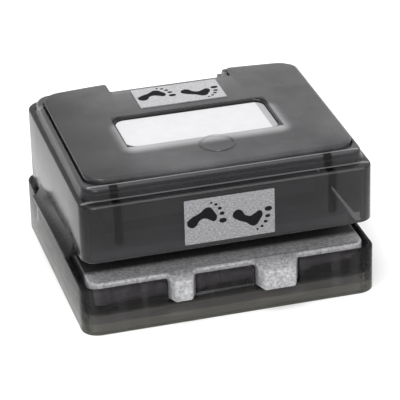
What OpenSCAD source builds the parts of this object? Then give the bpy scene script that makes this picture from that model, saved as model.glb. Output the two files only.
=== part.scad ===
// Lever paper punch: a die-cast cutting set in a plastic base tray, pressed by a cap
// that is hinged at the rear. Millimetres. Origin at the centre of the resting face,
// X to the right, Y to the back, Z up. The cap is shown up, at its rest position.

/* [Base tray] */
// Width of the base tray
base_w = 88; // [86:0.5:92]
// Depth of the base tray, without the casting's lugs
base_d = 77.7; // [77:0.1:80]
// Height of the tray's front wall
front_wall_h = 14.2; // [13:0.1:14.6]
// Height of the tray's side walls at the front
side_wall_h = 15.2; // [14.6:0.1:15.8]
// Height of the tray's rear wall
rear_wall_h = 16.5; // [16:0.1:17]
// Height of the side walls in the finger scoops
scoop_h = 14.4; // [14:0.1:14.5]
// Thickness of the tray's walls
tray_wall = 2.2; // [1.8:0.1:2.4]
// Radius of the tray's upright corners
tray_corner = 5; // [3:0.5:7]
// Height of the tray floor's underside above the table
skirt_h = 5.1; // [4.5:0.1:5.5]
// Thickness of the tray's floor
floor_t = 2.7; // [2:0.1:3]

/* [Cutting set] */
// Height of the cutting table above the resting face
table_z = 15.2; // [15:0.1:15.4]
// Height of the paper slot
paper_gap = 1.6; // [1.2:0.1:1.8]
// Travel of the punch
stroke = 3.1; // [2.8:0.05:3.1]
// Distance from the front edge of the tray to the middle of the cut motif
motif_depth = 30.6; // [29:0.1:31]
// Diameter of the guide posts
post_d = 4; // [3:0.5:4]
// Distance of each guide post from the middle
post_x = 27; // [26.5:0.5:28]
// Play between a shaft and its bore, on the radius
running_play = 0.05; // [0.02:0.01:0.08]

/* [Cap] */
// Width of the cap above its grip flanges
cap_w = 86.4; // [86:0.1:87]
// Thickness of the cap's walls
cap_wall = 2; // [1.6:0.1:2]
// Radius of the cap's upright corners
cap_corner = 4.6; // [3.5:0.1:6]
// Height of the cap's front rim
rim_z = 40.8; // [40:0.1:42]
// Slope of the cap's top, rising to the back
rim_tilt = 0.9; // [0.5:0.1:1.5]
// Height of the cap's bottom edge at the front
cap_bottom_z = 23.4; // [23:0.1:23.8]
// Slope of the cap's bottom edge, falling to the back
bottom_tilt = 3.6; // [3:0.1:3.8]
// Height of the raised step above the rim
step_h = 3.6; // [3.2:0.1:4]
// Height of the top plate above the raised step
plate_rise = 1.5; // [1:0.1:1.8]
// Width of the notch at the back of the cap
notch_w = 36; // [35.8:0.1:37]

/* [Labels and window] */
// Length of the motif labels
label_l = 26.6; // [24:0.1:28]
// Height of the front motif label
label_b = 13.9; // [12:0.1:14]
// Depth of the top motif label
top_label_b = 12.9; // [11:0.1:14]
// Length of the window in the top plate
window_l = 46; // [40:0.5:50]
// Width of the window in the top plate
window_b = 19.6; // [18:0.1:21]

/* [Hidden] */
$fn = 48;
eps = 0.01;
far = 200;

// reference planes
lug_reach = 2.7;
overall_d = base_d + lug_reach;
back_y = overall_d/2;
front_y = back_y - base_d;
floor_z = skirt_h + floor_t;
slot_top_z = table_z + paper_gap;

// cutting table and lugs
table_w = 82.4;
table_front_y = front_y + 2.6;
table_back_y = back_y - 4.3;
table_corner = 4;
lug_left = [-14.7, 5.1, 7.4, 1.3];   // middle, width at the face, at the root, reach
lug_right = [13.7, 9.3, 12.1, lug_reach];
lug_bottom_z = 7.4;
lug_top_z = 13.4;
die_plate_t = 2.5;
die_plate_w = 40;
die_plate_d = 22;
chute_w = 32;
chute_d = 17;

// guide frame, on the spacers
frame_t = 3.5;
frame_top_z = slot_top_z + frame_t;
block_top_z = slot_top_z + 5.5;
frame_w = 80;
frame_front_y = front_y + 12.1;
frame_back_y = front_y + 61;
block_w = 66;
block_d = 24;
spring_well_r = 4.6;
well_floor_z = slot_top_z + 2.5;
motif_y = front_y + motif_depth;

// hinge, at the rear
hinge_y = motif_y + 40;
hinge_z = 27;
knuckle_r = 3.4;
knuckle_w = notch_w - 1;
pedestal_front = hinge_y - 3.4;
pedestal_back = hinge_y + 3.4;
pin_r = 2;
pin_l = notch_w + 10;
boss_r = 4;

// ram and punches
retainer_t = 1.5;
retainer_z = block_top_z + stroke + 0.4;
ram_z = retainer_z + retainer_t;
ram_top_z = ram_z + 6;
ram_w = 66;
ram_d = 24;
ram_well_h = 3;
punch_tip_z = slot_top_z + 0.2;
post_top_z = ram_top_z + 2.5;
clip_t = 0.8;
washer_t = 0.5;

// springs
spring_turns = 5.5;
spring_r = 3.2;
wire_r = 0.4;

// cap outline, seen from above
cap_back_y = back_y - 0.3;
bow_r = 300;
step_side = 1.35;
step_front = 3.5;
step_back = 4;
seat_side = 3.1;
seat_front = 6.3;
seat_back = 7;
groove = 0.4;
notch_y = front_y + 64;
roof_t = 1.2;
seat_h = 1.5;
roof = step_h - seat_h - roof_t;
boss_l = 1.8;
press_t = 2;
plate_bottom = step_h - seat_h;
plate_t = seat_h + plate_rise;
recess = 1.6;
window_y = front_y + 34.5;
plate_corner = 5;

// grip flanges
flange_front_y = front_y + 13.6;
flange_back_y = front_y + 58.3;
flange_out = 45.8;
flange_in = 44.4;
flange_tilt = 2.3;
lip_z = 19.25;
lip_h = 1.4;
flange_root = 6.4;

// screws
screw_r = 1.5;
head_r = 2.75;
small_screw_r = 1.25;
small_head_r = 2.3;
die_screw_xy = [[-36, table_front_y + 6], [36, table_front_y + 6],
                [-36, table_back_y - 6], [36, table_back_y - 6]];
guide_screw_xy = [[-36.8, motif_y], [36.8, motif_y], [-36.8, motif_y + 30], [36.8, motif_y + 30]];
ram_screw_xy = [[-18, motif_y - 8], [18, motif_y - 8], [-18, motif_y + 8], [18, motif_y + 8]];

// colours
smoke = [0.25, 0.25, 0.27, 0.85];
cast = [0.66, 0.66, 0.67];
steel = [0.78, 0.79, 0.8];
dark_steel = [0.35, 0.35, 0.37];
silver = [0.8, 0.8, 0.82];
white = [0.95, 0.95, 0.96];

// ---- plain shapes ----

// rectangle between two depths, centred in X, with rounded corners
module rounded_rect(w, y0, y1, r) {
    translate([-w/2 + r, y0]) square([w - 2*r, y1 - y0]);
    translate([-w/2, y0 + r]) square([w, y1 - y0 - 2*r]);
    for (x = [-w/2 + r, w/2 - r], y = [y0 + r, y1 - r]) translate([x, y]) circle(r);
}

module rounded_plate(w, y0, y1, r, z0, z1) {
    translate([0, 0, z0]) linear_extrude(z1 - z0) rounded_rect(w, y0, y1, r);
}

// everything above a plane that passes through the front edge at height z
module above_plane(z, tilt) {
    translate([0, front_y, z]) rotate([tilt, 0, 0]) translate([-far/2, -far/2, 0]) cube([far, far, far]);
}

module bore_x(r, l, y, z) {
    translate([-l/2, y, z]) rotate([0, 90, 0]) cylinder(r = r, h = l);
}

// points along an arc, from one angle to another
function arc(c, r, a0, a1, n) = [for (i = [0:n]) let (a = a0 + (a1 - a0)*i/n) c + r*[cos(a), sin(a)]];

// one bare foot, heel at the origin and toes towards +X; grow widens it all round
heel_r = 1.15;
ball_r = 1.75;
foot_l = 5.6;
arch_r = 3;
toe_arc = [[8.6, -1.35, 0.72], [8.75, 0.15, 0.5], [8.35, 1.35, 0.42], [7.65, 2.35, 0.36], [6.75, 3.1, 0.3]];

// heel and ball joined by a straight outer edge and by an arch that is tangent to both
module sole(grow) {
    outer = acos((heel_r - ball_r)/foot_l);
    arch_x = (pow(arch_r + heel_r, 2) - pow(arch_r + ball_r, 2) + foot_l*foot_l)/(2*foot_l);
    arch_y = -sqrt(pow(arch_r + heel_r, 2) - arch_x*arch_x);
    to_heel = atan2(-arch_y, -arch_x);
    to_ball = atan2(-arch_y, foot_l - arch_x);
    polygon(concat(arc([0, 0], heel_r + grow, outer, to_heel + 180, 14),
                   arc([arch_x, arch_y], arch_r - grow, to_heel, to_ball, 10),
                   arc([foot_l, 0], ball_r + grow, to_ball + 180, outer + 360, 18)));
}

module toes(grow) {
    for (t = toe_arc) translate([t[0], t[1]]) circle(t[2] + grow);
}

// the pair of feet, one above the other and pointing the same way
module left_foot_place() {
    translate([-11.4, motif_y - 1.1]) rotate(14) children();
}

module right_foot_place() {
    translate([2, motif_y + 1.3]) rotate(-14) mirror([0, 1]) children();
}

module motif(grow) {
    left_foot_place() { sole(grow); toes(grow); }
    right_foot_place() { sole(grow); toes(grow); }
}

module each_post() {
    for (x = [-post_x, post_x]) translate([x, motif_y, 0]) children();
}

// ---- base ----

module side_scoop() {
    run = 2.5;
    translate([-far/2, 0, 0]) rotate([90, 0, 90]) linear_extrude(far)
        polygon([[flange_front_y - 2 - run, far], [flange_front_y - 2 - run, side_wall_h + run],
                 [flange_front_y - 2, scoop_h], [flange_back_y + 2, scoop_h],
                 [flange_back_y + 2 + run, side_wall_h + run], [flange_back_y + 2 + run, far]]);
}

module lug_notch(lug) {
    r = 1.2;
    w = lug[2] + 1.3;
    translate([lug[0], 0, 0]) {
        translate([-w/2, front_y - eps, lug_bottom_z - 0.4 + r]) cube([w, tray_wall + 2*eps, far]);
        translate([-w/2 + r, front_y - eps, lug_bottom_z - 0.4]) cube([w - 2*r, tray_wall + 2*eps, far]);
        for (x = [-w/2 + r, w/2 - r])
            translate([x, front_y - eps, lug_bottom_z - 0.4 + r]) rotate([-90, 0, 0])
                cylinder(r = r, h = tray_wall + 2*eps);
    }
}

module base_tray() {
    in_w = base_w - 2*tray_wall;
    in_front = front_y + tray_wall;
    in_back = back_y - tray_wall;
    in_r = tray_corner - tray_wall;
    rim_slope = atan((rear_wall_h - side_wall_h)/base_d);
    color(smoke) difference() {
        rounded_plate(base_w, front_y, back_y, tray_corner, 0, rear_wall_h + 1);
        rounded_plate(in_w, in_front, in_back, in_r, floor_z, far);
        rounded_plate(in_w, in_front, in_back, in_r, -1, skirt_h);
        above_plane(side_wall_h, rim_slope);
        translate([-in_w/2, front_y - 1, front_wall_h]) cube([in_w, tray_wall + 2, far]);
        side_scoop();
        rounded_plate(chute_w, motif_y - chute_d/2, motif_y + chute_d/2, 2, 0, far);
        for (p = die_screw_xy) translate([p[0], p[1], 0]) cylinder(r = screw_r + 0.1, h = far);
        lug_notch(lug_left);
        lug_notch(lug_right);
    }
}

// lug with tapered sides, sloping top and a dimple on its face
module lug(l) {
    reach_y = front_y - l[3];
    root_y = table_front_y + 0.5;
    difference() {
        translate([l[0], 0, lug_bottom_z]) linear_extrude(table_z - lug_bottom_z)
            polygon([[-l[2]/2 - 0.8, root_y], [-l[2]/2, front_y + 0.6], [-l[1]/2, reach_y],
                     [l[1]/2, reach_y], [l[2]/2, front_y + 0.6], [l[2]/2 + 0.8, root_y]]);
        translate([0, reach_y, lug_top_z]) rotate([atan((table_z - lug_top_z)/(root_y - reach_y)), 0, 0])
            translate([-far/2, -far/2, 0]) cube([far, far, far]);
    }
}

module die_body() {
    pocket = 0.1;
    color(cast) difference() {
        union() {
            rounded_plate(table_w, table_front_y, table_back_y, table_corner, floor_z, table_z);
            lug(lug_left);
            lug(lug_right);
        }
        rounded_plate(chute_w, motif_y - chute_d/2, motif_y + chute_d/2, 2, 0, far);
        rounded_plate(die_plate_w + 2*pocket, motif_y - die_plate_d/2 - pocket,
                      motif_y + die_plate_d/2 + pocket, 2, table_z - die_plate_t, far);
        each_post() cylinder(r = post_d/2, h = far);
        for (p = die_screw_xy) translate([p[0], p[1], 0]) cylinder(r = screw_r, h = table_z - 2);
        for (p = guide_screw_xy) translate([p[0], p[1], floor_z + 1]) cylinder(r = screw_r, h = far);
    }
}

module die_plate() {
    play = 0.04;
    color(steel) translate([0, 0, table_z - die_plate_t]) linear_extrude(die_plate_t) difference() {
        rounded_rect(die_plate_w, motif_y - die_plate_d/2, motif_y + die_plate_d/2, 1.9);
        motif(play);
    }
}

module slot_spacer(side) {
    spacer_w = 6;
    color(dark_steel) difference() {
        translate([side*(frame_w/2 - spacer_w/2), 0, 0])
            rounded_plate(spacer_w, motif_y - 5, frame_back_y, 1, table_z, slot_top_z);
        for (p = guide_screw_xy) translate([p[0], p[1], 0]) cylinder(r = screw_r + 0.1, h = far);
    }
}

module slot_spacer_left() { slot_spacer(-1); }
module slot_spacer_right() { slot_spacer(1); }

// ---- guide frame ----

module guide_frame() {
    play = 0.05;
    color(cast) difference() {
        union() {
            rounded_plate(frame_w, frame_front_y, frame_back_y, 3, slot_top_z, frame_top_z);
            rounded_plate(block_w, motif_y - block_d/2, motif_y + block_d/2, 3, slot_top_z, block_top_z);
            translate([-knuckle_w/2, frame_back_y - 5, slot_top_z])
                cube([knuckle_w, pedestal_back - frame_back_y + 5, frame_t]);
            translate([-knuckle_w/2, pedestal_front, slot_top_z])
                cube([knuckle_w, pedestal_back - pedestal_front, hinge_z - slot_top_z]);
            bore_x(knuckle_r, knuckle_w, hinge_y, hinge_z);
        }
        bore_x(pin_r + running_play, far, hinge_y, hinge_z);
        linear_extrude(far) motif(play);
        each_post() {
            cylinder(r = post_d/2 + running_play, h = far);
            translate([0, 0, well_floor_z]) cylinder(r = spring_well_r, h = far);
        }
        for (p = guide_screw_xy) translate([p[0], p[1], 0]) cylinder(r = screw_r + 0.1, h = far);
    }
}

module guide_post(side) {
    neck = 0.5;
    color(steel) translate([side*post_x, motif_y, 0]) {
        translate([0, 0, floor_z]) cylinder(r = post_d/2, h = ram_top_z - floor_z);
        translate([0, 0, ram_top_z]) cylinder(r = post_d/2 - neck, h = clip_t);
        translate([0, 0, ram_top_z + clip_t]) cylinder(r = post_d/2, h = post_top_z - ram_top_z - clip_t);
    }
}

module guide_post_left() { guide_post(-1); }
module guide_post_right() { guide_post(1); }

module post_clips() {
    clip_r = 3.6;
    slot = post_d - 1;
    color(dark_steel) each_post() translate([0, 0, ram_top_z]) linear_extrude(clip_t) difference() {
        circle(clip_r);
        circle(post_d/2 - 0.5);
        translate([-slot/2, -2*clip_r]) square([slot, 2*clip_r]);
    }
}

module spring_washers() {
    color(steel) each_post() translate([0, 0, well_floor_z]) linear_extrude(washer_t) difference() {
        circle(spring_well_r - 0.2);
        circle(post_d/2 + 0.2);
    }
}

// ---- springs ----

// compression spring with closed ends, as one tube swept along a helix
spring_bottom = well_floor_z + washer_t;
spring_top = ram_z + ram_well_h;
steps_per_turn = 16;
wire_sides = 8;

// height along the wire: flat for the first and last half turn, and even between
function rise(t) = let (u = (t*spring_turns - 0.5)/(spring_turns - 1)) min(1, max(0, u));

function coil_ring(t) =
    let (a = 360*spring_turns*t,
         z = spring_bottom + wire_r + rise(t)*(spring_top - spring_bottom - 2*wire_r))
    [for (k = [0:wire_sides - 1]) let (b = 360*k/wire_sides)
        [(spring_r + wire_r*cos(b))*cos(a), (spring_r + wire_r*cos(b))*sin(a), z + wire_r*sin(b)]];

module coil_spring() {
    rings = floor(steps_per_turn*spring_turns);
    points = [for (i = [0:rings]) each coil_ring(i/rings)];
    sides = [for (i = [0:rings - 1], k = [0:wire_sides - 1])
        let (n = (k + 1) % wire_sides, a = i*wire_sides, b = a + wire_sides)
        [a + k, a + n, b + n, b + k]];
    first = [for (k = [wire_sides - 1:-1:0]) k];
    last = [for (k = [0:wire_sides - 1]) rings*wire_sides + k];
    polyhedron(points, concat([first], sides, [last]), convexity = 10);
}

module return_spring_left() { color(steel) translate([-post_x, motif_y, 0]) coil_spring(); }
module return_spring_right() { color(steel) translate([post_x, motif_y, 0]) coil_spring(); }

// ---- ram and punches ----

module punch_ram() {
    color(cast) difference() {
        rounded_plate(ram_w, motif_y - ram_d/2, motif_y + ram_d/2, 4, ram_z, ram_top_z);
        each_post() {
            cylinder(r = post_d/2 + running_play, h = far);
            cylinder(r = spring_well_r, h = ram_z + ram_well_h);
        }
        for (p = ram_screw_xy) translate([p[0], p[1], 0]) cylinder(r = small_screw_r, h = ram_top_z - 1.5);
    }
}

module punch_retainer() {
    fit = 0.02;
    color(steel) difference() {
        rounded_plate(ram_w, motif_y - ram_d/2, motif_y + ram_d/2, 4, retainer_z, ram_z);
        linear_extrude(far) motif(fit);
        each_post() cylinder(r = spring_well_r, h = far);
        for (p = ram_screw_xy) translate([p[0], p[1], 0]) {
            cylinder(r = small_screw_r + 0.1, h = far);
            cylinder(r = small_head_r + 0.1, h = retainer_z + 1);
        }
    }
}

module foot_punch() {
    translate([0, 0, punch_tip_z]) linear_extrude(ram_z - punch_tip_z) { sole(0); toes(0); }
}

module foot_punch_left() {
    color(steel) left_foot_place() foot_punch();
}

module foot_punch_right() {
    color(steel) right_foot_place() foot_punch();
}

module ram_screws() {
    color(dark_steel) for (p = ram_screw_xy) translate([p[0], p[1], retainer_z]) {
        cylinder(r = small_head_r, h = 1);
        cylinder(r = small_screw_r - 0.05, h = 5.5);
    }
}

// ---- cap ----

// outline of the cap seen from above, moved in by one margin per side, with a bowed back
module cap_outline(side, front, back, r) {
    intersection() {
        rounded_rect(cap_w - 2*side, front_y + front, cap_back_y - back, r);
        translate([0, cap_back_y - back - bow_r]) circle(bow_r, $fn = 360);
    }
}

// the rear notch, with its walls grown by a margin
module notch(grow) {
    translate([-notch_w/2 - grow, notch_y - grow]) square([notch_w + 2*grow, far]);
}

// children are placed in the plane of the cap's rim, with Z up from it
module on_rim() {
    translate([0, front_y, rim_z]) rotate([rim_tilt, 0, 0]) translate([0, -front_y, 0]) children();
}

// children are placed in the plane of the cap's bottom edge
module on_bottom() {
    translate([0, front_y, cap_bottom_z]) rotate([-bottom_tilt, 0, 0]) translate([0, -front_y, 0]) children();
}

module grip_flange(side) {
    skirt_out = cap_w/2 - 0.05;
    skirt_in = cap_w/2 - cap_wall + 0.05;
    overlap = 3;
    curve = [for (a = [0:15:90]) [flange_out - (flange_out - skirt_out)*sin(a),
                                  flange_root - (flange_root - lip_h)*cos(a)]];
    profile = concat([[flange_in, 0], [flange_out, 0]], curve,
                     [[skirt_out, flange_root + overlap], [skirt_in, flange_root + overlap],
                      [skirt_in, 1], [flange_in, 1]]);
    translate([0, front_y, lip_z]) rotate([-flange_tilt, 0, 0]) mirror([side < 0 ? 1 : 0, 0, 0])
        translate([0, flange_back_y - front_y, 0]) rotate([90, 0, 0])
            linear_extrude(flange_back_y - flange_front_y) polygon(profile);
}

// hollow walls between the bottom edge and the rim
module cap_walls() {
    difference() {
        linear_extrude(far) difference() {
            cap_outline(0, 0, 0, cap_corner);
            notch(0);
        }
        above_plane(rim_z, rim_tilt);
        on_bottom() translate([-far/2, -far/2, -far]) cube([far, far, far]);
    }
}

module cap_step() {
    on_rim() translate([0, 0, -1]) linear_extrude(step_h + 1) difference() {
        cap_outline(step_side, step_front, step_back, cap_corner);
        notch(0);
    }
}

module cap_hollow() {
    on_rim() {
        translate([0, 0, -far]) linear_extrude(far - cap_wall) difference() {
            cap_outline(cap_wall, cap_wall, cap_wall, cap_corner - cap_wall);
            notch(cap_wall);
        }
        translate([0, 0, -far]) linear_extrude(far + roof) difference() {
            cap_outline(step_side + cap_wall, step_front + cap_wall, step_back + cap_wall,
                        cap_corner - cap_wall);
            notch(cap_wall);
        }
    }
}

// legs that hold the top plate: [x, depth from the front]
leg_at = [[-31.4, 8.2], [31.4, 8.2], [-30, 56], [30, 56]];
leg_w = 2.2;
leg_d = 2.4;
leg_l = 17.5;
leg_play = 0.2;

// bosses that the pressure plate screws to: [x, depth from the front]
plate_bosses = [[-17, 22], [17, 22], [-17, 42], [17, 42]];

module press_cap() {
    relief = [notch_w + 8, 8, frame_top_z + 1.5];
    color(smoke) difference() {
        union() {
            difference() {
                union() { cap_walls(); cap_step(); }
                cap_hollow();
            }
            grip_flange(-1);
            grip_flange(1);
            for (x = [-1, 1]) translate([x*(notch_w/2 + pin_l/2)/2, 0, 0])
                bore_x(boss_r, (pin_l - notch_w)/2, hinge_y, hinge_z);
            on_rim() for (b = plate_bosses) translate([b[0], front_y + b[1], roof - boss_l])
                cylinder(r = 3, h = boss_l + roof_t/2);
        }
        on_rim() {
            translate([0, 0, step_h - seat_h]) linear_extrude(far) difference() {
                cap_outline(seat_side, seat_front, seat_back, plate_corner + 0.8);
                notch(0.8);
            }
            for (l = leg_at) translate([l[0] - leg_w/2 - leg_play, front_y + l[1] - leg_d/2 - leg_play, -3])
                cube([leg_w + 2*leg_play, leg_d + 2*leg_play, far]);
            for (b = plate_bosses) translate([b[0], front_y + b[1], roof - boss_l - 1])
                cylinder(r = small_screw_r, h = boss_l + 1);
        }
        bore_x(pin_r, pin_l, hinge_y, hinge_z);
        translate([-relief[0]/2, notch_y - 5, 0]) cube(relief);
    }
}

module top_plate() {
    mark_at = [1.7, front_y + 18.7];
    color(smoke) on_rim() difference() {
        union() {
            translate([0, 0, plate_bottom]) linear_extrude(plate_t) difference() {
                cap_outline(seat_side + groove, seat_front + groove, seat_back + groove, plate_corner);
                notch(0.8 + 0.4);
            }
            for (l = leg_at) translate([l[0] - leg_w/2, front_y + l[1] - leg_d/2, plate_bottom - leg_l])
                cube([leg_w, leg_d, leg_l + eps]);
            translate([mark_at[0], mark_at[1], plate_bottom + plate_t - eps]) difference() {
                cylinder(r = 5.2, h = 0.15);
                translate([0, 0, -eps]) cylinder(r = 4.7, h = 1);
            }
        }
        translate([0, 0, plate_bottom + plate_t - recess]) linear_extrude(far)
            rounded_rect(window_l, window_y - window_b/2, window_y + window_b/2, 3.2);
    }
}

module window_insert() {
    insert_t = 0.5;
    margin = 0.15;
    color(white) on_rim() translate([0, 0, plate_bottom + plate_t - recess]) linear_extrude(insert_t)
        rounded_rect(window_l - 2*margin, window_y - window_b/2 + margin, window_y + window_b/2 - margin, 3);
}

label_t = 0.25;

module top_motif_label() {
    color(silver) on_rim() translate([0, 0, plate_bottom + plate_t])
        linear_extrude(label_t) rounded_rect(label_l, front_y + 48.2, front_y + 48.2 + top_label_b, 0.3);
}

module front_motif_label() {
    color(silver) translate([-label_l/2 - 0.4, front_y - label_t, 24.9]) cube([label_l, label_t, label_b]);
}

// pressure plate under the roof, with a rounded pad that rolls on the ram
module press_plate() {
    plate = [42, 26, press_t];
    pad_l = 30;
    pad_r = 12;
    lift = 0.15;
    color(dark_steel) difference() {
        union() {
            on_rim() translate([-plate[0]/2, front_y + 19, roof - boss_l - plate[2]]) cube(plate);
            intersection() {
                bore_x(pad_r, pad_l, motif_y, ram_top_z + lift + pad_r);
                translate([-pad_l/2, motif_y - 6, ram_top_z]) cube([pad_l, 12, 5.5]);
            }
        }
        on_rim() for (b = plate_bosses) translate([b[0], front_y + b[1], -far/2])
            cylinder(r = small_screw_r + 0.1, h = far);
    }
}

module press_plate_screws() {
    color(steel) on_rim() for (b = plate_bosses) translate([b[0], front_y + b[1], roof - boss_l - press_t]) {
        translate([0, 0, -1.4]) cylinder(r = small_head_r, h = 1.4);
        cylinder(r = small_screw_r - 0.05, h = 3.2);
    }
}

module hinge_pin() {
    color(steel) bore_x(pin_r, pin_l, hinge_y, hinge_z);
}

// ---- screws ----

module die_screws() {
    color(dark_steel) for (p = die_screw_xy) translate([p[0], p[1], skirt_h]) {
        translate([0, 0, -1.9]) cylinder(r = head_r, h = 1.9);
        cylinder(r = screw_r - 0.05, h = 7);
    }
}

module guide_screws() {
    color(dark_steel) for (p = guide_screw_xy) translate([p[0], p[1], frame_top_z]) {
        cylinder(r = head_r, h = 2);
        translate([0, 0, -10]) cylinder(r = screw_r - 0.05, h = 10);
    }
}

base_tray();
die_body();
die_plate();
slot_spacer_left();
slot_spacer_right();
guide_frame();
guide_post_left();
guide_post_right();
post_clips();
spring_washers();
return_spring_left();
return_spring_right();
punch_ram();
punch_retainer();
foot_punch_left();
foot_punch_right();
ram_screws();
press_cap();
top_plate();
window_insert();
top_motif_label();
front_motif_label();
press_plate();
press_plate_screws();
hinge_pin();
die_screws();
guide_screws();
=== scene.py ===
import math
import bmesh
import bpy
from mathutils import Matrix, Vector


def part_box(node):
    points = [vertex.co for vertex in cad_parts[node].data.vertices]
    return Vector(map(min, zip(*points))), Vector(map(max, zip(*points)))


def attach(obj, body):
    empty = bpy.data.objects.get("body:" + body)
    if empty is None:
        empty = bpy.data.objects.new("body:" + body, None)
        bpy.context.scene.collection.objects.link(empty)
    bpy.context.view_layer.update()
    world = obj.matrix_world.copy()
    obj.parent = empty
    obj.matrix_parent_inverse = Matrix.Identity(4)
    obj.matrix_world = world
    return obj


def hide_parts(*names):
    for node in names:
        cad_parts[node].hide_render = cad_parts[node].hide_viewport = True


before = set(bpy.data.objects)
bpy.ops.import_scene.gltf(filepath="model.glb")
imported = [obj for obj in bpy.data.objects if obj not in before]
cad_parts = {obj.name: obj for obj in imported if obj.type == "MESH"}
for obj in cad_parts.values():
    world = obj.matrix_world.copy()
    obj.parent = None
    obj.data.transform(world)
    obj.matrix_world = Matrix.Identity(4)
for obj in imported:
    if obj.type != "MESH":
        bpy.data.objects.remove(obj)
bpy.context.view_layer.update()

# pieces are made in millimetres and scaled to metres when they are finished;
# lights and patterns are in metres from the start
mm = 0.001
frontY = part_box("base_tray")[0].y / mm
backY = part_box("base_tray")[1].y / mm
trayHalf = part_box("base_tray")[1].x / mm

# camera: angles in degrees, clip in metres, the rest in millimetres
shot = {"azimuth": -15.05, "elevation": 26.62, "roll": -1.69, "distance": 704.1,
        "lens": 208.2, "sensor": 36, "middleY": 2.54, "slideRight": 1.28, "slideUp": 16.08,
        "clip": (0.01, 20)}


def setCamera():
    a, e, r = (math.radians(shot[k]) for k in ("azimuth", "elevation", "roll"))
    back = Vector((math.sin(a) * math.cos(e), -math.cos(a) * math.cos(e), math.sin(e)))
    level = Vector((math.cos(a), math.sin(a), 0))
    raised = back.cross(level)
    right = math.cos(r) * level + math.sin(r) * raised
    up = back.cross(right)
    aim = Vector((0, shot["middleY"], 0)) + shot["slideRight"] * right + shot["slideUp"] * up
    place = Matrix((right, up, back)).transposed().to_4x4()
    place.translation = (aim + shot["distance"] * back) * mm
    data = bpy.data.cameras.new("studioCamera")
    data.lens, data.sensor_width = shot["lens"], shot["sensor"]
    data.clip_start, data.clip_end = shot["clip"]
    camera = linked("studioCamera", data)
    camera.matrix_world = place
    bpy.context.scene.camera = camera
    print("camera set")


def linked(name, data):
    item = bpy.data.objects.new(name, data)
    bpy.context.scene.collection.objects.link(item)
    return item


# white room with two square softboxes: place, aim and width in metres, power in watts
studio = {"world": 1.0, "worldTone": (1, 1, 1), "lampTone": (1, 1, 1), "aim": (0, 0, 0.02),
          "lamps": [("topBox", (-0.25, -0.1, 0.9), 0.5, 4),
                    ("frontBox", (-0.15, -0.7, 0.5), 0.35, 3.2)],
          "floor": (0.93, 0.93, 0.93), "floorHalf": 3, "floorRoughness": 0.9, "seeThrough": 24}


def addSoftbox(name, place, width, power):
    data = bpy.data.lights.new(name, "AREA")
    data.shape, data.size, data.energy, data.color = "SQUARE", width, power, studio["lampTone"]
    lamp = linked(name, data)
    lamp.location = place
    turn = (Vector(place) - Vector(studio["aim"])).to_track_quat("Z", "Y")
    lamp.rotation_euler = turn.to_euler()


def setStudio():
    scene = bpy.context.scene
    scene.view_settings.view_transform = "Standard"
    scene.cycles.transparent_max_bounces = studio["seeThrough"]
    world = bpy.data.worlds.new("whiteRoom")
    world.use_nodes = True
    sky = world.node_tree.nodes["Background"]
    sky.inputs["Color"].default_value = (*studio["worldTone"], 1)
    sky.inputs["Strength"].default_value = studio["world"]
    scene.world = world
    for lamp in studio["lamps"]:
        addSoftbox(*lamp)
    bm = bmesh.new()
    bmesh.ops.create_grid(bm, x_segments=1, y_segments=1, size=studio["floorHalf"])
    floor = meshObject("floor", bm)
    finish, nodes, links, body = newMaterial("floorPaper")
    body.inputs["Base Color"].default_value = (*studio["floor"], 1)
    body.inputs["Roughness"].default_value = studio["floorRoughness"]
    body.inputs["Specular IOR Level"].default_value = 0
    floor.data.materials.append(finish)
    print("studio set")


# materials, all from Object coordinates

def newMaterial(name):
    material = bpy.data.materials.new(name)
    material.use_nodes = True
    nodes, links = material.node_tree.nodes, material.node_tree.links
    return material, nodes, links, nodes["Principled BSDF"]


# a value goes to the node's own property if it has one, else to the socket of that name
def addNode(nodes, kind, **values):
    node = nodes.new(kind)
    for key, value in values.items():
        if hasattr(node, key):
            setattr(node, key, value)
        else:
            node.inputs[key].default_value = value
    return node


def grey(value):
    return (value, value, value)


middleSpan = (0.3, 0.7)  # the part of a noise's range where most of its values lie


def ramp(nodes, links, source, span, dark, light):
    node = addNode(nodes, "ShaderNodeValToRGB")
    start, end = node.color_ramp.elements
    start.position, end.position = span
    start.color, end.color = (*dark, 1), (*light, 1)
    links.new(source, node.inputs["Fac"])
    return node.outputs["Color"]


def grain(nodes, links, scale, detail=3, roughness=0.6, stretch=(1, 1, 1)):
    place = addNode(nodes, "ShaderNodeTexCoord")
    spread = addNode(nodes, "ShaderNodeMapping", Scale=stretch)
    noise = addNode(nodes, "ShaderNodeTexNoise", Scale=scale, Detail=detail, Roughness=roughness)
    links.new(place.outputs["Object"], spread.inputs["Vector"])
    links.new(spread.outputs["Vector"], noise.inputs["Vector"])
    return noise.outputs["Fac"]


def addBump(nodes, links, height, body, strength, distance):
    bump = addNode(nodes, "ShaderNodeBump", Strength=strength, Distance=distance)
    links.new(height, bump.inputs["Height"])
    links.new(bump.outputs["Normal"], body.inputs["Normal"])


def blendTone(nodes, links, base, amount, tone, mode):
    blend = addNode(nodes, "ShaderNodeMixRGB", blend_type=mode, Color2=(*tone, 1))
    links.new(amount, blend.inputs["Fac"])
    links.new(base, blend.inputs["Color1"])
    return blend.outputs["Color"]


# a tone that comes in smoothly along one axis, from the first to the second end of the span
def drift(nodes, links, base, change):
    place = addNode(nodes, "ShaderNodeTexCoord")
    split = addNode(nodes, "ShaderNodeSeparateXYZ")
    links.new(place.outputs["Object"], split.inputs["Vector"])
    span = addNode(nodes, "ShaderNodeMapRange", interpolation_type="SMOOTHSTEP")
    span.inputs["From Min"].default_value, span.inputs["From Max"].default_value = change["span"]
    links.new(split.outputs[change["axis"]], span.inputs["Value"])
    mode = change.get("mode", "ADD")
    return blendTone(nodes, links, base, span.outputs["Result"], change["tone"], mode)


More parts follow.
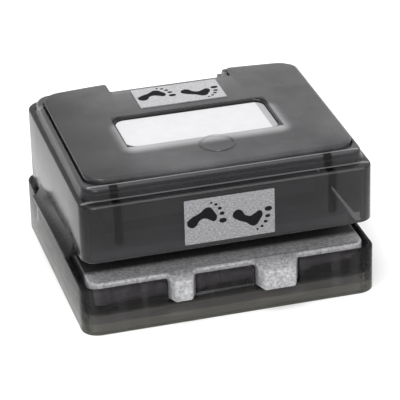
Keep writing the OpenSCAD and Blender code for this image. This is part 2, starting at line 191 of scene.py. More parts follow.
# how near a point is to a box: 1 inside it, 0 past the reach, measured on the chosen axes
def softPatch(nodes, links, patch):
    last = addNode(nodes, "ShaderNodeTexCoord").outputs["Object"]
    none = (0, 0, 0)
    for operation, value in (("SUBTRACT", patch["centre"]), ("ABSOLUTE", none),
                             ("SUBTRACT", patch["half"]), ("MAXIMUM", none),
                             ("MULTIPLY", patch.get("axes", (1, 1, 0))), ("LENGTH", none)):
        step = addNode(nodes, "ShaderNodeVectorMath", operation=operation)
        links.new(last, step.inputs[0])
        step.inputs[1].default_value = value
        last = step.outputs["Value"] if operation == "LENGTH" else step.outputs["Vector"]
    fade = addNode(nodes, "ShaderNodeMapRange", interpolation_type="SMOOTHERSTEP")
    fade.inputs["From Max"].default_value = patch["reach"]
    fade.inputs["To Min"].default_value, fade.inputs["To Max"].default_value = 1, 0
    links.new(last, fade.inputs["Value"])
    return fade.outputs["Result"]


# scuffs change the roughness and ripples the bump; a higher edgeIor covers slanting views sooner
moulding = {"mottleDetail": 3, "scuffScale": 240, "scuffDetail": 4, "scuffSpan": (0.3, 0.75),
            "scuff": 0.06, "rippleScale": 90, "rippleDetail": 2, "ripple": 0.04,
            "rippleDepth": 0.0004, "edgeIor": 1.5, "seenLightStreakSpan": (0.5, 0.62)}


# smoke tinted plastic: a glossy body over a clear one, more covered at grazing angles
def smokePlastic(name, look):
    material, nodes, links, body = newMaterial(name)
    mottle = grain(nodes, links, look["mottle"], moulding["mottleDetail"])
    base = ramp(nodes, links, mottle, middleSpan, look["dark"], look["light"])
    for change in look.get("drifts", []):
        base = drift(nodes, links, base, change)
    for patch in look.get("patches", []):
        amount = softPatch(nodes, links, patch)
        base = blendTone(nodes, links, base, amount, patch["tone"], patch["mode"])
    # painted light seen through the wall, as lighter vertical streaks
    if "seenLightStreaks" in look:
        strand = grain(nodes, links, 1, stretch=look["seenLightStreaks"]["stretch"])
        seenLightStreaks = ramp(nodes, links, strand, moulding["seenLightStreakSpan"], grey(0),
                       look["seenLightStreaks"]["tone"])
        blend = addNode(nodes, "ShaderNodeMixRGB", blend_type="ADD", Fac=1)
        links.new(base, blend.inputs["Color1"])
        links.new(seenLightStreaks, blend.inputs["Color2"])
        base = blend.outputs["Color"]
    links.new(base, body.inputs["Base Color"])
    scuffs = grain(nodes, links, moulding["scuffScale"], moulding["scuffDetail"])
    links.new(ramp(nodes, links, scuffs, moulding["scuffSpan"], grey(look["gloss"]),
                   grey(look["gloss"] + moulding["scuff"])), body.inputs["Roughness"])
    body.inputs["IOR"].default_value = look["bend"]
    ripples = grain(nodes, links, moulding["rippleScale"], moulding["rippleDetail"])
    addBump(nodes, links, ripples, body, moulding["ripple"], moulding["rippleDepth"])
    glassy = addNode(nodes, "ShaderNodeBsdfTransparent", Color=(*look["tint"], 1))
    edge = addNode(nodes, "ShaderNodeFresnel", IOR=moulding["edgeIor"])
    cover = addNode(nodes, "ShaderNodeMapRange")
    cover.inputs["To Min"].default_value = 1 - look["clear"]
    cover.inputs["To Max"].default_value = 1
    links.new(edge.outputs["Fac"], cover.inputs["Value"])
    mix = addNode(nodes, "ShaderNodeMixShader")
    links.new(cover.outputs["Result"], mix.inputs["Fac"])
    links.new(glassy.outputs["BSDF"], mix.inputs[1])
    links.new(body.outputs["BSDF"], mix.inputs[2])
    links.new(mix.outputs["Shader"], nodes["Material Output"].inputs["Surface"])
    return material


zincSkin = {"speckScale": 1100, "speckDetail": 5, "speckRoughness": 0.7, "wornScale": 350,
            "wornDetail": 4, "worn": (0.34, 0.6), "metallic": 0.12, "bump": 0.6,
            "bumpDepth": 0.0002}


def castZinc(name, dark, light, drifts=()):
    material, nodes, links, body = newMaterial(name)
    speck = grain(nodes, links, zincSkin["speckScale"], zincSkin["speckDetail"],
                  zincSkin["speckRoughness"])
    base = ramp(nodes, links, speck, middleSpan, dark, light)
    for change in drifts:
        base = drift(nodes, links, base, change)
    links.new(base, body.inputs["Base Color"])
    worn = grain(nodes, links, zincSkin["wornScale"], zincSkin["wornDetail"])
    polished, rough = (grey(value) for value in zincSkin["worn"])
    links.new(ramp(nodes, links, worn, middleSpan, polished, rough), body.inputs["Roughness"])
    body.inputs["Metallic"].default_value = zincSkin["metallic"]
    addBump(nodes, links, speck, body, zincSkin["bump"], zincSkin["bumpDepth"])
    return material


# grinding marks run along X
ground = {"stretch": (40, 900, 900), "detail": 4, "noiseRoughness": 0.5, "toneSpan": (0.35, 0.65),
          "shade": 0.8, "dull": 0.12, "bump": 0.15, "bumpDepth": 0.00005}


def steel(name, tone, gloss):
    material, nodes, links, body = newMaterial(name)
    marks = grain(nodes, links, 1, ground["detail"], ground["noiseRoughness"], ground["stretch"])
    dark = tuple(ground["shade"] * t for t in tone)
    links.new(ramp(nodes, links, marks, ground["toneSpan"], dark, tone),
              body.inputs["Base Color"])
    links.new(ramp(nodes, links, marks, middleSpan, grey(gloss), grey(gloss + ground["dull"])),
              body.inputs["Roughness"])
    body.inputs["Metallic"].default_value = 1
    addBump(nodes, links, marks, body, ground["bump"], ground["bumpDepth"])
    return material


foilSkin = {"detail": 3, "noiseRoughness": 0.7, "span": (0.34, 0.66), "roughness": 0.5,
            "metallic": 0.15, "bump": 0.2, "bumpDepth": 0.00008}


def silverFoil(name, dark, light, stretch):
    material, nodes, links, body = newMaterial(name)
    sparkle = grain(nodes, links, 1, foilSkin["detail"], foilSkin["noiseRoughness"], stretch)
    links.new(ramp(nodes, links, sparkle, foilSkin["span"], dark, light),
              body.inputs["Base Color"])
    body.inputs["Roughness"].default_value = foilSkin["roughness"]
    body.inputs["Metallic"].default_value = foilSkin["metallic"]
    addBump(nodes, links, sparkle, body, foilSkin["bump"], foilSkin["bumpDepth"])
    return material


paperSkin = {"fibreScale": 300, "fibreDetail": 4, "shade": 0.94, "bump": 0.1, "bumpDepth": 0.0001}


def paper(name, tone, roughness, drifts=()):
    material, nodes, links, body = newMaterial(name)
    fibre = grain(nodes, links, paperSkin["fibreScale"], paperSkin["fibreDetail"])
    dark = tuple(paperSkin["shade"] * t for t in tone)
    base = ramp(nodes, links, fibre, middleSpan, dark, tone)
    for change in drifts:
        base = drift(nodes, links, base, change)
    links.new(base, body.inputs["Base Color"])
    body.inputs["Roughness"].default_value = roughness
    addBump(nodes, links, fibre, body, paperSkin["bump"], paperSkin["bumpDepth"])
    return material


# painted shade: dark bars on the cap's wall where its front legs stand close behind it, and painted
# highlights: thin lines of light along its edges
paintedLegShade = [{"centre": (x, 0, 0.037), "half": (0.0009, 0, 0.0085), "axes": (1, 0, 1),
             "reach": 0.0007, "tone": (0.05, 0.05, 0.05), "mode": "MULTIPLY"}
            for x in (-0.0327, 0.0303)]
# painted highlights: thin lines of light along the cap's front edges
paintedEdgeHighlights = [{"centre": (0, frontY * mm + y, z), "half": (0, deep, 0.00008), "axes": (0, 1, 1),
              "reach": 0.0003, "tone": grey(light), "mode": "ADD"}
             for y, z, deep, light in ((0.0002, 0.0406, 0.0002, 0.06),
                                       (0.0033, 0.0410, 0.0004, 0.16),
                                       (0.0058, 0.0445, 0.0002, 0.2))]
capSmoke = smokePlastic("capSmoke", {
    "dark": (0.009, 0.009, 0.0095), "light": (0.015, 0.0145, 0.016), "bend": 1.35,
    "mottle": 60, "gloss": 0.14, "tint": (0.9, 0.9, 0.93), "clear": 0.34,
    # painted light and shade: the cap is lighter towards its right side and towards its bottom, and
    # lighter on the upper part of the step; a painted highlight lies on the shoulder's flat top
    "drifts": [{"axis": "X", "span": (0.02, 0.046), "tone": (0.018, 0.018, 0.018)},
               {"axis": "Z", "span": (0.034, 0.024), "tone": (0.011, 0.01, 0.011)},
               {"axis": "Z", "span": (0.0395, 0.0425), "tone": (0.008, 0.008, 0.009)},
               {"axis": "Z", "span": (0.0438, 0.0443), "tone": (0.05, 0.05, 0.052)}],
    "patches": paintedLegShade + paintedEdgeHighlights})
gripSmoke = smokePlastic("gripSmoke", {
    "dark": (0.012, 0.012, 0.012), "light": (0.02, 0.02, 0.02), "bend": 1.14,
    "mottle": 60, "gloss": 0.24, "tint": (0.9, 0.9, 0.93), "clear": 0.1})

# the plate has a painted glow of light in front of the window, and a dark rim round it
paintedWindowGlow = {"centre": (0, frontY * mm + 0.0305, 0), "half": (0.0215, 0.0068, 1),
              "reach": 0.0055, "tone": (0.3, 0.3, 0.305), "mode": "ADD"}
windowRim = {"centre": (0, frontY * mm + 0.0345, 0), "half": (0.0233, 0.0101, 1),
             "reach": 0.0006, "tone": (0.08, 0.08, 0.08), "mode": "MULTIPLY"}
plateSmoke = smokePlastic("plateSmoke", {
    "dark": (0.03, 0.03, 0.033), "light": (0.092, 0.091, 0.095), "bend": 1.5,
    "mottle": 42, "gloss": 0.22, "tint": (0.9, 0.9, 0.92), "clear": 0.25,
    # painted shade: the plate is darker towards its left side
    "drifts": [{"axis": "X", "span": (-0.018, -0.04), "tone": (0.35, 0.35, 0.36),
                "mode": "MULTIPLY"}],
    "patches": [paintedWindowGlow, windowRim]})
traySmoke = smokePlastic("traySmoke", {
    "dark": (0.006, 0.0055, 0.006), "light": (0.011, 0.0105, 0.011), "bend": 1.34,
    "mottle": 60, "gloss": 0.16, "tint": (0.98, 0.95, 0.97), "clear": 0.62,
    # painted light: lighter vertical streaks for light seen through the tray's wall
    "seenLightStreaks": {"stretch": (260, 260, 9), "tone": (0.022, 0.021, 0.022)},
    # painted light: lighter below the floor's level, more so near the bottom, for light passing
    # through the hollow skirt
    "drifts": [{"axis": "Z", "span": (0.0073, 0.0068), "tone": (0.03, 0.031, 0.026)},
               {"axis": "Z", "span": (0.0038, 0.0036), "tone": (0.058, 0.06, 0.049)}]})
# painted shadow: the zinc goes dark behind the die's front strip, where the cap shades it
dieZinc = castZinc("dieZinc", (0.14, 0.14, 0.145), (0.46, 0.46, 0.47),
                   [{"axis": "Y", "span": (-0.029, -0.0262), "tone": (0.1, 0.1, 0.1),
                     "mode": "MULTIPLY"}])
# painted shade: a darker copy of the cast zinc for the pieces inside, which sit in shade
innerShadeZinc = castZinc("innerShadeZinc", (0.05, 0.05, 0.05), (0.12, 0.12, 0.12))
groundSteel = steel("groundSteel", (0.62, 0.62, 0.64), 0.22)
blackSteel = steel("blackSteel", (0.13, 0.13, 0.14), 0.35)
springSteel = steel("springSteel", (0.5, 0.5, 0.52), 0.25)
# the same silver foil twice: the front label's copy is darker, painted shade for its upright face
topFoil = silverFoil("topFoil", (0.29, 0.29, 0.3), (0.43, 0.43, 0.44), (2600, 900, 900))
frontFoil = silverFoil("frontFoil", (0.1, 0.1, 0.105), (0.28, 0.28, 0.29), (1300, 1300, 2800))
card = paper("whiteCard", (0.54, 0.54, 0.55), 0.8,
             [{"axis": "X", "span": (0.0206, 0.0209), "tone": (0.6, 0.6, 0.61),
               "mode": "MULTIPLY"}])
ink = paper("darkInk", (0.006, 0.006, 0.007), 0.6)
ink.node_tree.nodes["Principled BSDF"].inputs["IOR"].default_value = 1.15
print("materials ready")


# corners are (x, y, radius), in turn round the outline; each straight gets a few points too
def roundedOutline(corners, segments=8, cuts=4):
    points = []
    for before, here, after in zip(corners[-1:] + corners[:-1], corners, corners[1:] + corners[:1]):
        p, r = Vector(here[:2]), here[2]
        back, ahead = (Vector(before[:2]) - p).normalized(), (Vector(after[:2]) - p).normalized()
        half = back.angle(ahead) / 2
        centre = p + (back + ahead).normalized() * r / math.sin(half)
        slope = math.tan(half)
        start, end = p + back * r / slope - centre, p + ahead * r / slope - centre
        points += [centre + start.slerp(end, i / segments).normalized() * r
                   for i in range(segments + 1)]
    spread = []
    for i, p in enumerate(points):
        spread.append(p.to_3d())
        if i % (segments + 1) == segments:
            follower = points[(i + 1) % len(points)]
            spread += [p.lerp(follower, k / (cuts + 1)).to_3d() for k in range(1, cuts + 1)]
    return spread


# extrudes one face from ring to ring; returns the edges of the first and the last ring
def pullRings(bm, rings, keepEnds=(True, True)):
    face = bm.faces.new([bm.verts.new(p) for p in rings[0]])
    first = list(face.edges)
    for points in rings[1:]:
        face = bmesh.ops.extrude_discrete_faces(bm, faces=[face])["faces"][0]
        for loop, p in zip(face.loops, points):
            loop.vert.co = p
    if keepEnds[0]:
        bmesh.ops.contextual_create(bm, geom=first)
    last = list(face.edges)
    if not keepEnds[1]:
        bmesh.ops.delete(bm, geom=[face], context="FACES_ONLY")
    return first, last


def skin(rings):
    bm = bmesh.new()
    pullRings(bm, rings)
    bmesh.ops.recalc_face_normals(bm, faces=bm.faces)
    return bm


# a quarter of a rounded edge, as steps inwards and upwards
def quarter(radius, steps=5):
    turns = [math.pi / 2 * i / steps for i in range(steps + 1)]
    return [(radius * (1 - math.cos(t)), radius * math.sin(t)) for t in turns]


def meshObject(name, bm):
    mesh = bpy.data.meshes.new(name)
    bm.to_mesh(mesh)
    bm.free()
    return linked(name, mesh)


def applyModifiers(piece):
    graph = bpy.context.evaluated_depsgraph_get()
    graph.update()
    mesh = bpy.data.meshes.new_from_object(piece.evaluated_get(graph))
    piece.modifiers.clear()
    piece.data = mesh


def combine(piece, tools, operation):
    for tool in tools:
        step = piece.modifiers.new(operation.lower(), "BOOLEAN")
        step.operation, step.solver, step.object = operation, "EXACT", tool
    applyModifiers(piece)
    for tool in tools:
        bpy.data.objects.remove(tool)


def softenEdges(piece, width, segments=2, angle=38):
    step = piece.modifiers.new("softenEdges", "BEVEL")
    step.width, step.segments, step.limit_method = width, segments, "ANGLE"
    step.angle_limit, step.use_clamp_overlap = math.radians(angle), False
    step.miter_outer = "MITER_ARC"
    applyModifiers(piece)


def finishPiece(piece, body, finish, nodes=(), smooth=35):
    piece.data.transform(Matrix.Scale(mm, 4))
    piece.data.materials.clear()
    piece.data.materials.append(finish)
    piece.data.shade_smooth()
    piece.data.set_sharp_from_angle(angle=math.radians(smooth))
    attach(piece, body)
    if nodes:
        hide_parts(*nodes)
    print(piece.name, len(piece.data.polygons), "faces")


def uprightEdges(bm):
    return [e for e in bm.edges if abs(e.verts[0].co.z - e.verts[1].co.z) > 1e-6]


def block(name, low, high, radius=0, segments=3):
    bm = bmesh.new()
    bmesh.ops.create_cube(bm, size=1)
    for v in bm.verts:
        v.co = Vector([low[i] if v.co[i] < 0 else high[i] for i in range(3)])
    if radius:
        bmesh.ops.bevel(bm, geom=uprightEdges(bm), offset=radius, segments=segments, profile=0.5,
                        affect="EDGES", material=-1)
    return meshObject(name, bm)


def rod(name, start, end, radius, segments=40):
    bm = bmesh.new()
    a, b = Vector(start), Vector(end)
    turn = (b - a).to_track_quat("Z", "Y").to_matrix().to_4x4()
    place = Matrix.Translation((a + b) / 2) @ turn
    bmesh.ops.create_cone(bm, cap_ends=True, segments=segments, radius1=radius, radius2=radius,
                          depth=(b - a).length, matrix=place)
    return meshObject(name, bm)


def extrudeBy(bm, face, step):
    pulled = bmesh.ops.extrude_face_region(bm, geom=[face])["geom"]
    verts = [g for g in pulled if isinstance(g, bmesh.types.BMVert)]
    bmesh.ops.translate(bm, verts=verts, vec=step)


# the cap's rim and bottom are planes that slope towards the rear, tilts in degrees
cap = {"half": 43.2, "front": frontY, "back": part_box("press_cap")[1].y / mm, "bow": 300,
       "bottomZ": 23.4, "bottomTilt": -3.6, "rimZ": 40.8, "rimTilt": 0.9,
       "wall": 2, "roof": 0.9, "stepHigh": 3.6, "seatDeep": 1.5, "plateRise": 1.5,
       "leastCorner": 0.6, "edge": 0.16, "notchHalf": 18, "notchY": frontY + 64,
       "notchCorner": 1.2, "notchMouth": 0.5, "notchShare": 0.3,
       "reliefZ": 21.8, "reliefSide": 2, "reliefBehind": 3, "reliefAhead": 6}
# how far each outline stands in from the cap's walls: side, front, back, notch; then its corner
levels = {"wall": (0, 0, 0, 0, 4.6), "step": (1.35, 3.5, 4, 0.3, 4.6),
          "seat": (3.1, 6.3, 7, 0.8, 5.6), "plate": (3.5, 6.7, 7.4, 1.2, 5.2)}


def capPlane(kind, y):
    if kind == "rim":
        start, tilt = cap["rimZ"], cap["rimTilt"]
    else:
        start, tilt = cap["bottomZ"], cap["bottomTilt"]
    return start + math.tan(math.radians(tilt)) * (y - cap["front"])


# one outline of the cap, inset by extra, on the rim's or the bottom's plane
def capRing(level, extra, kind, rise, notchExtra=None):
    side, front, back, notch, corner = levels[level]
    notchExtra = extra if notchExtra is None else notchExtra
    half = cap["half"] - side - extra
    low, high = cap["front"] + front + extra, cap["back"] - back - extra
    gap, gapY = cap["notchHalf"] + notch + notchExtra, cap["notchY"] - notch - notchExtra
    r, inner, mouth = max(corner - extra, cap["leastCorner"]), cap["notchCorner"], cap["notchMouth"]
    points = roundedOutline([(-half, low, r), (half, low, r), (half, high, r), (gap, high, mouth),
                             (gap, gapY, inner), (-gap, gapY, inner), (-gap, high, mouth),
                             (-half, high, r)])
    for p in points:
        if p.y > high - r - 0.01:  # the rear edge bows out in the middle
            p.y -= p.x ** 2 / (2 * cap["bow"])
        p.z = capPlane(kind, p.y) + rise
        inRelief = gapY - cap["reliefAhead"] < p.y < gapY + cap["reliefBehind"]
        if kind == "bottom" and abs(p.x) < gap + cap["reliefSide"] and inRelief:
            p.z = max(p.z, cap["reliefZ"] + rise)
    return points


# from the plate's seat out over the shoulder and the rim, down the wall and up inside
def capRings():
    edge = {"rim": 0.75, "crease": 0.4, "shoulderWide": 1.2, "shoulderDeep": 2.2, "seat": 0.3,
            "draft": 0.35, "foot": 0.35, "inside": 0.4}
    wall, crease, high, share = cap["wall"], edge["crease"], cap["stepHigh"], cap["notchShare"]
    lip = high - edge["seat"]
    rings = [capRing("seat", 0, "rim", high - cap["seatDeep"]), capRing("seat", 0, "rim", lip)]
    rings += [capRing("seat", -a, "rim", lip + b, -a * share)
              for a, b in quarter(edge["seat"], 3)[1:]]
    rings += [capRing("step", edge["draft"] + edge["shoulderWide"] * a, "rim",
                      high - edge["shoulderDeep"] * (1 - b), share * a)
              for a, b in reversed(quarter(1, 7))]
    rings += [capRing("step", -a, "rim", crease - b, 0) for a, b in reversed(quarter(crease, 3))]
    rings += [capRing("wall", a, "rim", b - edge["rim"], 0)
              for a, b in reversed(quarter(edge["rim"]))]
    rings += [capRing("wall", a, "bottom", edge["foot"] - b) for a, b in quarter(edge["foot"], 3)]
    rings += [capRing("wall", wall - edge["foot"], "bottom", 0),
              capRing("wall", wall, "bottom", edge["foot"]),
              capRing("wall", wall, "rim", -wall - edge["inside"]),
              capRing("wall", wall + edge["inside"], "rim", -wall),
              capRing("step", wall, "rim", -wall), capRing("step", wall, "rim", cap["roof"])]
    return rings


# side grips: a skirt that flares out below the cap's walls
grip = {"frontY": frontY + 13.6, "backY": frontY + 58.3, "out": 45.8, "in": 44.4, "lip": 1.4,
        "root": 6.4, "z": 19.25, "tilt": 2.3, "wallOut": 43.15, "wallIn": 41.5, "lap": 3,
        "inside": 1, "steps": 8}


def gripFlange(side, name):
    turns = [math.pi / 2 * i / grip["steps"] for i in range(grip["steps"] + 1)]
    arc = [(grip["out"] - (grip["out"] - grip["wallOut"]) * math.sin(t),
            grip["root"] - (grip["root"] - grip["lip"]) * math.cos(t)) for t in turns]
    top = grip["root"] + grip["lap"]
    profile = [(grip["in"], 0), (grip["out"], 0)] + arc + [
        (grip["wallOut"], top), (grip["wallIn"], top),
        (grip["wallIn"], grip["inside"]), (grip["in"], grip["inside"])]
    bm = bmesh.new()
    end = bm.faces.new([bm.verts.new((x, grip["frontY"], z)) for x, z in profile])
    extrudeBy(bm, end, (0, grip["backY"] - grip["frontY"], 0))
    for v in bm.verts:
        fall = math.tan(math.radians(grip["tilt"])) * (v.co.y - frontY)
        v.co = Vector((side * v.co.x, v.co.y, v.co.z + grip["z"] - fall))
    bmesh.ops.recalc_face_normals(bm, faces=bm.faces)
    return meshObject(name, bm)


# hinge bosses on both sides of the rear notch
hinge = {"bossRadius": 4, "bossGap": 0.3, "holeRadius": 2.02}


def makeCap():
    shell = meshObject("capShell", skin(capRings()))
    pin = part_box("hinge_pin")
    pinY, pinZ = (pin[0].y + pin[1].y) / 2 / mm, (pin[0].z + pin[1].z) / 2 / mm
    pinEnd, bossStart = pin[1].x / mm, cap["notchHalf"] + hinge["bossGap"]
    bosses = [rod("boss", (s * bossStart, pinY, pinZ), (s * pinEnd, pinY, pinZ),
                  hinge["bossRadius"]) for s in (-1, 1)]
    combine(shell, bosses, "UNION")
    hole = rod("pinHole", (-pinEnd, pinY, pinZ), (pinEnd, pinY, pinZ), hinge["holeRadius"])
    combine(shell, [hole], "DIFFERENCE")
    softenEdges(shell, cap["edge"])
    finishPiece(shell, "cap", capSmoke, ["press_cap"])
    for side, name in ((-1, "leftGrip"), (1, "rightGrip")):
        flange = gripFlange(side, name)
        softenEdges(flange, cap["edge"])
        finishPiece(flange, "cap", gripSmoke)


window = {"wide": 46, "deep": 19.6, "y": frontY + 34.5, "corner": 3.2, "sunk": 1.6}
plateTop = cap["stepHigh"] + cap["plateRise"]
rimTilt = Matrix.Rotation(math.radians(cap["rimTilt"]), 4, "X")


def windowRing(grow, rise):
    half = window["wide"] / 2 + grow
    low = window["y"] - window["deep"] / 2 - grow
    high = window["y"] + window["deep"] / 2 + grow
    r = window["corner"] + grow
    points = roundedOutline([(-half, low, r), (half, low, r), (half, high, r), (-half, high, r)],
                            cuts=0)
    for p in points:
        p.z = capPlane("rim", p.y) + rise
    return points


# legs are placed by x and the distance from the front; they hang from the plate
plate = {"edge": 0.6, "edgeShare": 0.5, "lipEdge": 0.7,
         "legs": [(-31.4, 8.2), (31.4, 8.2), (-30, 56), (30, 56)],
         "legWide": 2.2, "legDeep": 2.4, "legLong": 17.5, "legLap": 0.5, "legCorner": 0.3,
         "mark": (1.7, frontY + 18.7), "markR": 5.0, "markBead": 0.42, "markSunk": 0.08}


def plateLeg(x, depth, base):
    y, w, d = frontY + depth, plate["legWide"] / 2, plate["legDeep"] / 2
    z = capPlane("rim", y) + base
    return block("leg", (x - w, y - d, z - plate["legLong"]), (x + w, y + d, z + plate["legLap"]),
                 plate["legCorner"], 2)


# plain raised ring on the plate
def ringMark():
    x, y = plate["mark"]
    bm = bmesh.new()
    beadPlace = Matrix.Translation((plate["markR"], 0, 0)) @ Matrix.Rotation(math.pi / 2, 4, "X")
    bmesh.ops.create_circle(bm, segments=12, radius=plate["markBead"], matrix=beadPlace)
    bmesh.ops.spin(bm, geom=bm.verts[:] + bm.edges[:], cent=(0, 0, 0), axis=(0, 0, 1),
                   angle=2 * math.pi, steps=56, use_merge=True)
    bmesh.ops.recalc_face_normals(bm, faces=bm.faces)
    z = capPlane("rim", y) + plateTop - plate["markSunk"]
    bmesh.ops.transform(bm, verts=bm.verts, matrix=Matrix.Translation((x, y, z)) @ rimTilt)
    return meshObject("mark", bm)


def makeTopPlate():
    base, edge, lip = plateTop - cap["plateRise"] - cap["seatDeep"], plate["edge"], plate["lipEdge"]
    outer = [capRing("plate", 0, "rim", base), capRing("plate", 0, "rim", plateTop - edge)]
    outer += [capRing("plate", a, "rim", plateTop - edge + b, plate["edgeShare"] * a)
              for a, b in quarter(edge)[1:]]
    inner = [windowRing(lip - a, plateTop - b) for a, b in quarter(lip)]
    inner.append(windowRing(0, plateTop - window["sunk"]))
    bm = bmesh.new()
    outerRim = pullRings(bm, outer, (True, False))[1]
    innerRim = pullRings(bm, inner, (False, True))[0]
    bmesh.ops.triangle_fill(bm, use_beauty=True, use_dissolve=False, edges=outerRim + innerRim)
    bmesh.ops.recalc_face_normals(bm, faces=bm.faces)
    sheet = meshObject("topPlate", bm)
    legs = [plateLeg(x, depth, base) for x, depth in plate["legs"]]
    combine(sheet, legs + [ringMark()], "UNION")
    finishPiece(sheet, "cap", plateSmoke, ["top_plate"], 30)


def makeWindowCard():
    insert = {"margin": 0.15, "thick": 0.5, "lift": 0.01, "edge": 0.1}
    inset, edge = -insert["margin"], insert["edge"]
    low = plateTop - window["sunk"] + insert["lift"]
    high = plateTop - window["sunk"] + insert["thick"]
    sheet = meshObject("windowCard", skin([windowRing(inset, low), windowRing(inset, high - edge),
                                           windowRing(inset - edge, high)]))
    finishPiece(sheet, "cap", card, ["window_insert"])


makeCap()
makeTopPlate()
makeWindowCard()
print("cap ready")

tray = {"wall": 2.2, "corner": 5, "skirt": 5.1, "floor": 7.8, "edge": 0.5, "foot": 0.35,
        "soften": 0.22, "screwHead": 2.75, "screwHole": 1.6, "screwDeep": 12}
# heights of the tray's rim, which rises between two distances from the front
rim = {"front": 14.2, "middle": 14.4, "rear": 16.4, "riseFrom": 60, "riseTo": 66}
# metal lugs that stand out through the tray's front; their widths are at the face and the root
lugs = [{"x": -14.7, "face": 5.1, "root": 7.4, "reach": 1.3},
        {"x": 13.7, "face": 9.3, "root": 12.1, "reach": 2.7}]
lugGap = {"spare": 1.3, "out": 2, "in": 2.19, "low": 7, "high": 20}
# hole under the die, cut through the tray and the casting
chute = {"half": 16, "front": frontY + 22.1, "back": frontY + 39.1, "high": 30, "corner": 2}


def trayTop(y):
    t = min(1, max(0, (y - frontY - rim["riseFrom"]) / (rim["riseTo"] - rim["riseFrom"])))
    low = rim["front"] + (rim["middle"] - rim["front"]) * (y - frontY) / rim["riseFrom"]
    return low + (rim["rear"] - low) * t * t * (3 - 2 * t) if t else low


# one outline of the tray, level at z or following the rim
def trayRing(extra, z=None, drop=0):
    half, low, high, r = trayHalf - extra, frontY + extra, backY - extra, tray["corner"] - extra
    points = roundedOutline([(-half, low, r), (half, low, r), (half, high, r), (-half, high, r)],
                            cuts=26)
    for p in points:
        p.z = trayTop(p.y) - drop if z is None else z
    return points


def chuteBlock():
    return block("chute", (-chute["half"], chute["front"], 0),
                 (chute["half"], chute["back"], chute["high"]), chute["corner"])


def makeTray():
    wall, edge, foot = tray["wall"], tray["edge"], tray["foot"]
    rings = [trayRing(wall, tray["floor"]), trayRing(wall, None, edge)]
    rings += [trayRing(wall - a, None, edge - b) for a, b in quarter(edge, 3)[1:]]
    rings += [trayRing(a, None, edge - b) for a, b in reversed(quarter(edge, 4))]
    rings += [trayRing(a, foot - b) for a, b in quarter(foot, 3)]
    rings += [trayRing(wall - foot, 0), trayRing(wall, foot), trayRing(wall, tray["skirt"])]
    shell = meshObject("baseTray", skin(rings))
    cutters = [chuteBlock()]
    for lug in lugs:
        w = (lug["root"] + lugGap["spare"]) / 2
        cutters.append(block("lugGap", (lug["x"] - w, frontY - lugGap["out"], lugGap["low"]),
                             (lug["x"] + w, frontY + lugGap["in"], lugGap["high"])))
    screws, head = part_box("die_screws"), tray["screwHead"]
    xs, ys = screws[1].x / mm - head, (screws[0].y / mm + head, screws[1].y / mm - head)
    cutters += [rod("hole", (x, y, 0), (x, y, tray["screwDeep"]), tray["screwHole"], 24)
                for x in (-xs, xs) for y in ys]
    combine(shell, cutters, "DIFFERENCE")
    softenEdges(shell, tray["soften"])
    finishPiece(shell, "base", traySmoke, ["base_tray"])


# the casting's outline carries the lugs; the pocket holds the die plate
casting = {"half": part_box("die_body")[1].x / mm, "front": frontY + 2.6,
           "back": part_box("die_body")[1].y / mm, "corner": 4, "low": 7.8, "top": 15.2,
           "lugTop": 13.5, "lugLow": 7.4, "lugCorner": 1.0, "fillet": 1.7, "filletWide": 0.6,
           "lugRoot": 0.9, "lugFrom": 0.3, "edge": 0.7, "pocketHalf": 20.1,
           "pocketFront": frontY + 19.5, "pocketBack": frontY + 41.7, "pocketLow": 12.7,
           "pocketHigh": 30, "pocketCorner": 2}


def castingOutline():
    half, front, back, corner = (casting[k] for k in ("half", "front", "back", "corner"))
    corners = [(-half, front, corner)]
    for lug in lugs:
        x, f, r, y = lug["x"], lug["face"] / 2, lug["root"] / 2, frontY - lug["reach"]
        wide, fillet, tip = casting["filletWide"], casting["fillet"], casting["lugCorner"]
        corners += [(x - r - wide, front, fillet), (x - f, y, tip),
                    (x + f, y, tip), (x + r + wide, front, fillet)]
    corners += [(half, front, corner), (half, back, corner), (-half, back, corner)]
    return roundedOutline(corners, segments=6, cuts=0)


# the lugs slope down towards their faces and hang a little below the casting
def shapeLugs(bm):
    low, top = casting["low"], casting["top"]
    rootY = casting["front"] + casting["lugRoot"]
    bmesh.ops.bisect_plane(bm, geom=bm.verts[:] + bm.edges[:] + bm.faces[:], dist=1e-4,
                           plane_co=(0, rootY, 0), plane_no=(0, 1, 0))
    reach = rootY - (frontY - lugs[1]["reach"])
    for v in bm.verts:
        if v.co.y < rootY - 0.01 and v.co.y < casting["front"] - casting["lugFrom"]:
            if v.co.z > low + 1:
                v.co.z -= (top - casting["lugTop"]) * (rootY - v.co.y) / reach
            else:
                v.co.z = casting["lugLow"]


def makeDieCasting():
    bm = bmesh.new()
    bottom = bm.faces.new([bm.verts.new((p.x, p.y, casting["low"])) for p in castingOutline()])
    extrudeBy(bm, bottom, (0, 0, casting["top"] - casting["low"]))
    shapeLugs(bm)
    bmesh.ops.recalc_face_normals(bm, faces=bm.faces)
    body = meshObject("dieCasting", bm)
    softenEdges(body, casting["edge"], 3, 30)
    half = casting["pocketHalf"]
    pocket = block("pocket", (-half, casting["pocketFront"], casting["pocketLow"]),
                   (half, casting["pocketBack"], casting["pocketHigh"]), casting["pocketCorner"])
    combine(body, [chuteBlock(), pocket], "DIFFERENCE")
    finishPiece(body, "base", dieZinc, ["die_body"], 30)


makeTray()
makeDieCasting()
print("base ready")

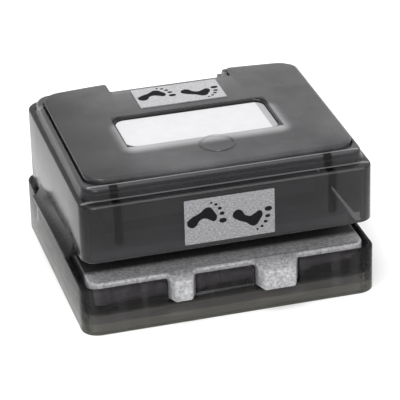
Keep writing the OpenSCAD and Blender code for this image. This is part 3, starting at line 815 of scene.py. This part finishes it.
# a foot in its own frame: heel at the origin, toes towards +X; a toe is x, y, long and wide
foot = {"sole": [(-1.5, 0.2), (-0.5, 1.45), (2.2, 2.8), (4.9, 4.3), (6.6, 2.6), (7.3, 0.7),
                 (6.5, -0.3), (5.1, 0.35), (3.6, 1.0), (2.2, 0.45), (1.1, -1.1), (-0.2, -1.5)],
        "toes": [(9.05, -0.45, 1.1, 0.75), (8.85, 1.8, 0.75, 0.5), (8.2, 3.5, 0.6, 0.45),
                 (7.1, 4.85, 0.48, 0.38), (5.75, 5.55, 0.34, 0.32)]}


def closedCurve(curve, start, spots):
    outline = curve.splines.new("BEZIER")
    outline.bezier_points.add(len(spots) - 1)
    outline.use_cyclic_u = True
    for point, (x, y) in zip(outline.bezier_points, spots):
        point.co = start + Vector((x, y, 0))
        point.handle_left_type = point.handle_right_type = "AUTO"


def footCurve(curve, start, flip):
    closedCurve(curve, start, [(x, flip * y) for x, y in foot["sole"]])
    turns = [math.pi / 2 * i for i in range(4)]
    for x, y, long, wide in foot["toes"]:
        closedCurve(curve, start, [(x + long * math.cos(t), flip * y + wide * math.sin(t))
                                   for t in turns])


# feet are x, y, and 1 or -1 to mirror the foot
label = {"wide": 26.6, "thick": 0.22, "corner": 0.3, "print": 0.05, "smooth": 8, "weld": 0.0005,
         "feet": [(-11.1, -0.25, 1), (2.35, 0.4, -1)]}


def labelSheet(name, high):
    bm = bmesh.new()
    bmesh.ops.create_cube(bm, size=1)
    bmesh.ops.scale(bm, vec=(label["wide"], high, label["thick"]), verts=bm.verts)
    bmesh.ops.translate(bm, vec=(0, 0, label["thick"] / 2), verts=bm.verts)
    bmesh.ops.bevel(bm, geom=uprightEdges(bm), offset=label["corner"], segments=4, profile=0.5,
                    affect="EDGES", material=-1)
    return meshObject(name, bm)


# the two feet as thin closed meshes, flat on z = 0
def feetPrint(name):
    curve = bpy.data.curves.new(name, "CURVE")
    curve.dimensions, curve.fill_mode = "2D", "BOTH"
    curve.extrude, curve.resolution_u = label["print"] / 2, label["smooth"]
    for x, y, flip in label["feet"]:
        footCurve(curve, Vector((x, y, 0)), flip)
    drawn = linked(name + "Curve", curve)
    graph = bpy.context.evaluated_depsgraph_get()
    mesh = bpy.data.meshes.new_from_object(drawn.evaluated_get(graph))
    bpy.data.objects.remove(drawn)
    bm = bmesh.new()
    bm.from_mesh(mesh)
    bmesh.ops.remove_doubles(bm, verts=bm.verts, dist=label["weld"])
    return meshObject(name, bm)


def makeLabel(name, node, place, foil, high):
    sticker = labelSheet(name, high)
    sticker.data.transform(place)
    finishPiece(sticker, "cap", foil, [node])
    printed = feetPrint(name + "Print")
    lift = Matrix.Translation((0, 0, label["thick"] + label["print"] / 2))
    printed.data.transform(place @ lift)
    finishPiece(printed, "cap", ink)


topPlaceY = frontY + 54.65
topPlace = Matrix.Translation((0, topPlaceY, capPlane("rim", topPlaceY) + plateTop)) @ rimTilt
frontPlace = Matrix.Translation((-0.4, frontY, 31.85)) @ Matrix.Rotation(math.pi / 2, 4, "X")
makeLabel("topLabel", "top_motif_label", topPlace, topFoil, 12.9)
makeLabel("frontLabel", "front_motif_label", frontPlace, frontFoil, 13.9)
print("labels ready")

# finishes of the CAD pieces that stay as they are
keptLooks = [(innerShadeZinc, ["guide_frame", "punch_ram", "punch_retainer"]),
             (groundSteel, ["die_plate", "guide_post_left", "guide_post_right",
                            "foot_punch_left", "foot_punch_right", "press_plate_screws",
                            "hinge_pin"]),
             (blackSteel, ["slot_spacer_left", "slot_spacer_right", "post_clips",
                           "spring_washers", "ram_screws", "press_plate", "die_screws",
                           "guide_screws"]),
             (springSteel, ["return_spring_left", "return_spring_right"])]
for finish, names in keptLooks:
    for name in names:
        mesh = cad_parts[name].data
        mesh.materials.clear()
        mesh.materials.append(finish)
print("inner pieces finished")

setStudio()
setCamera()
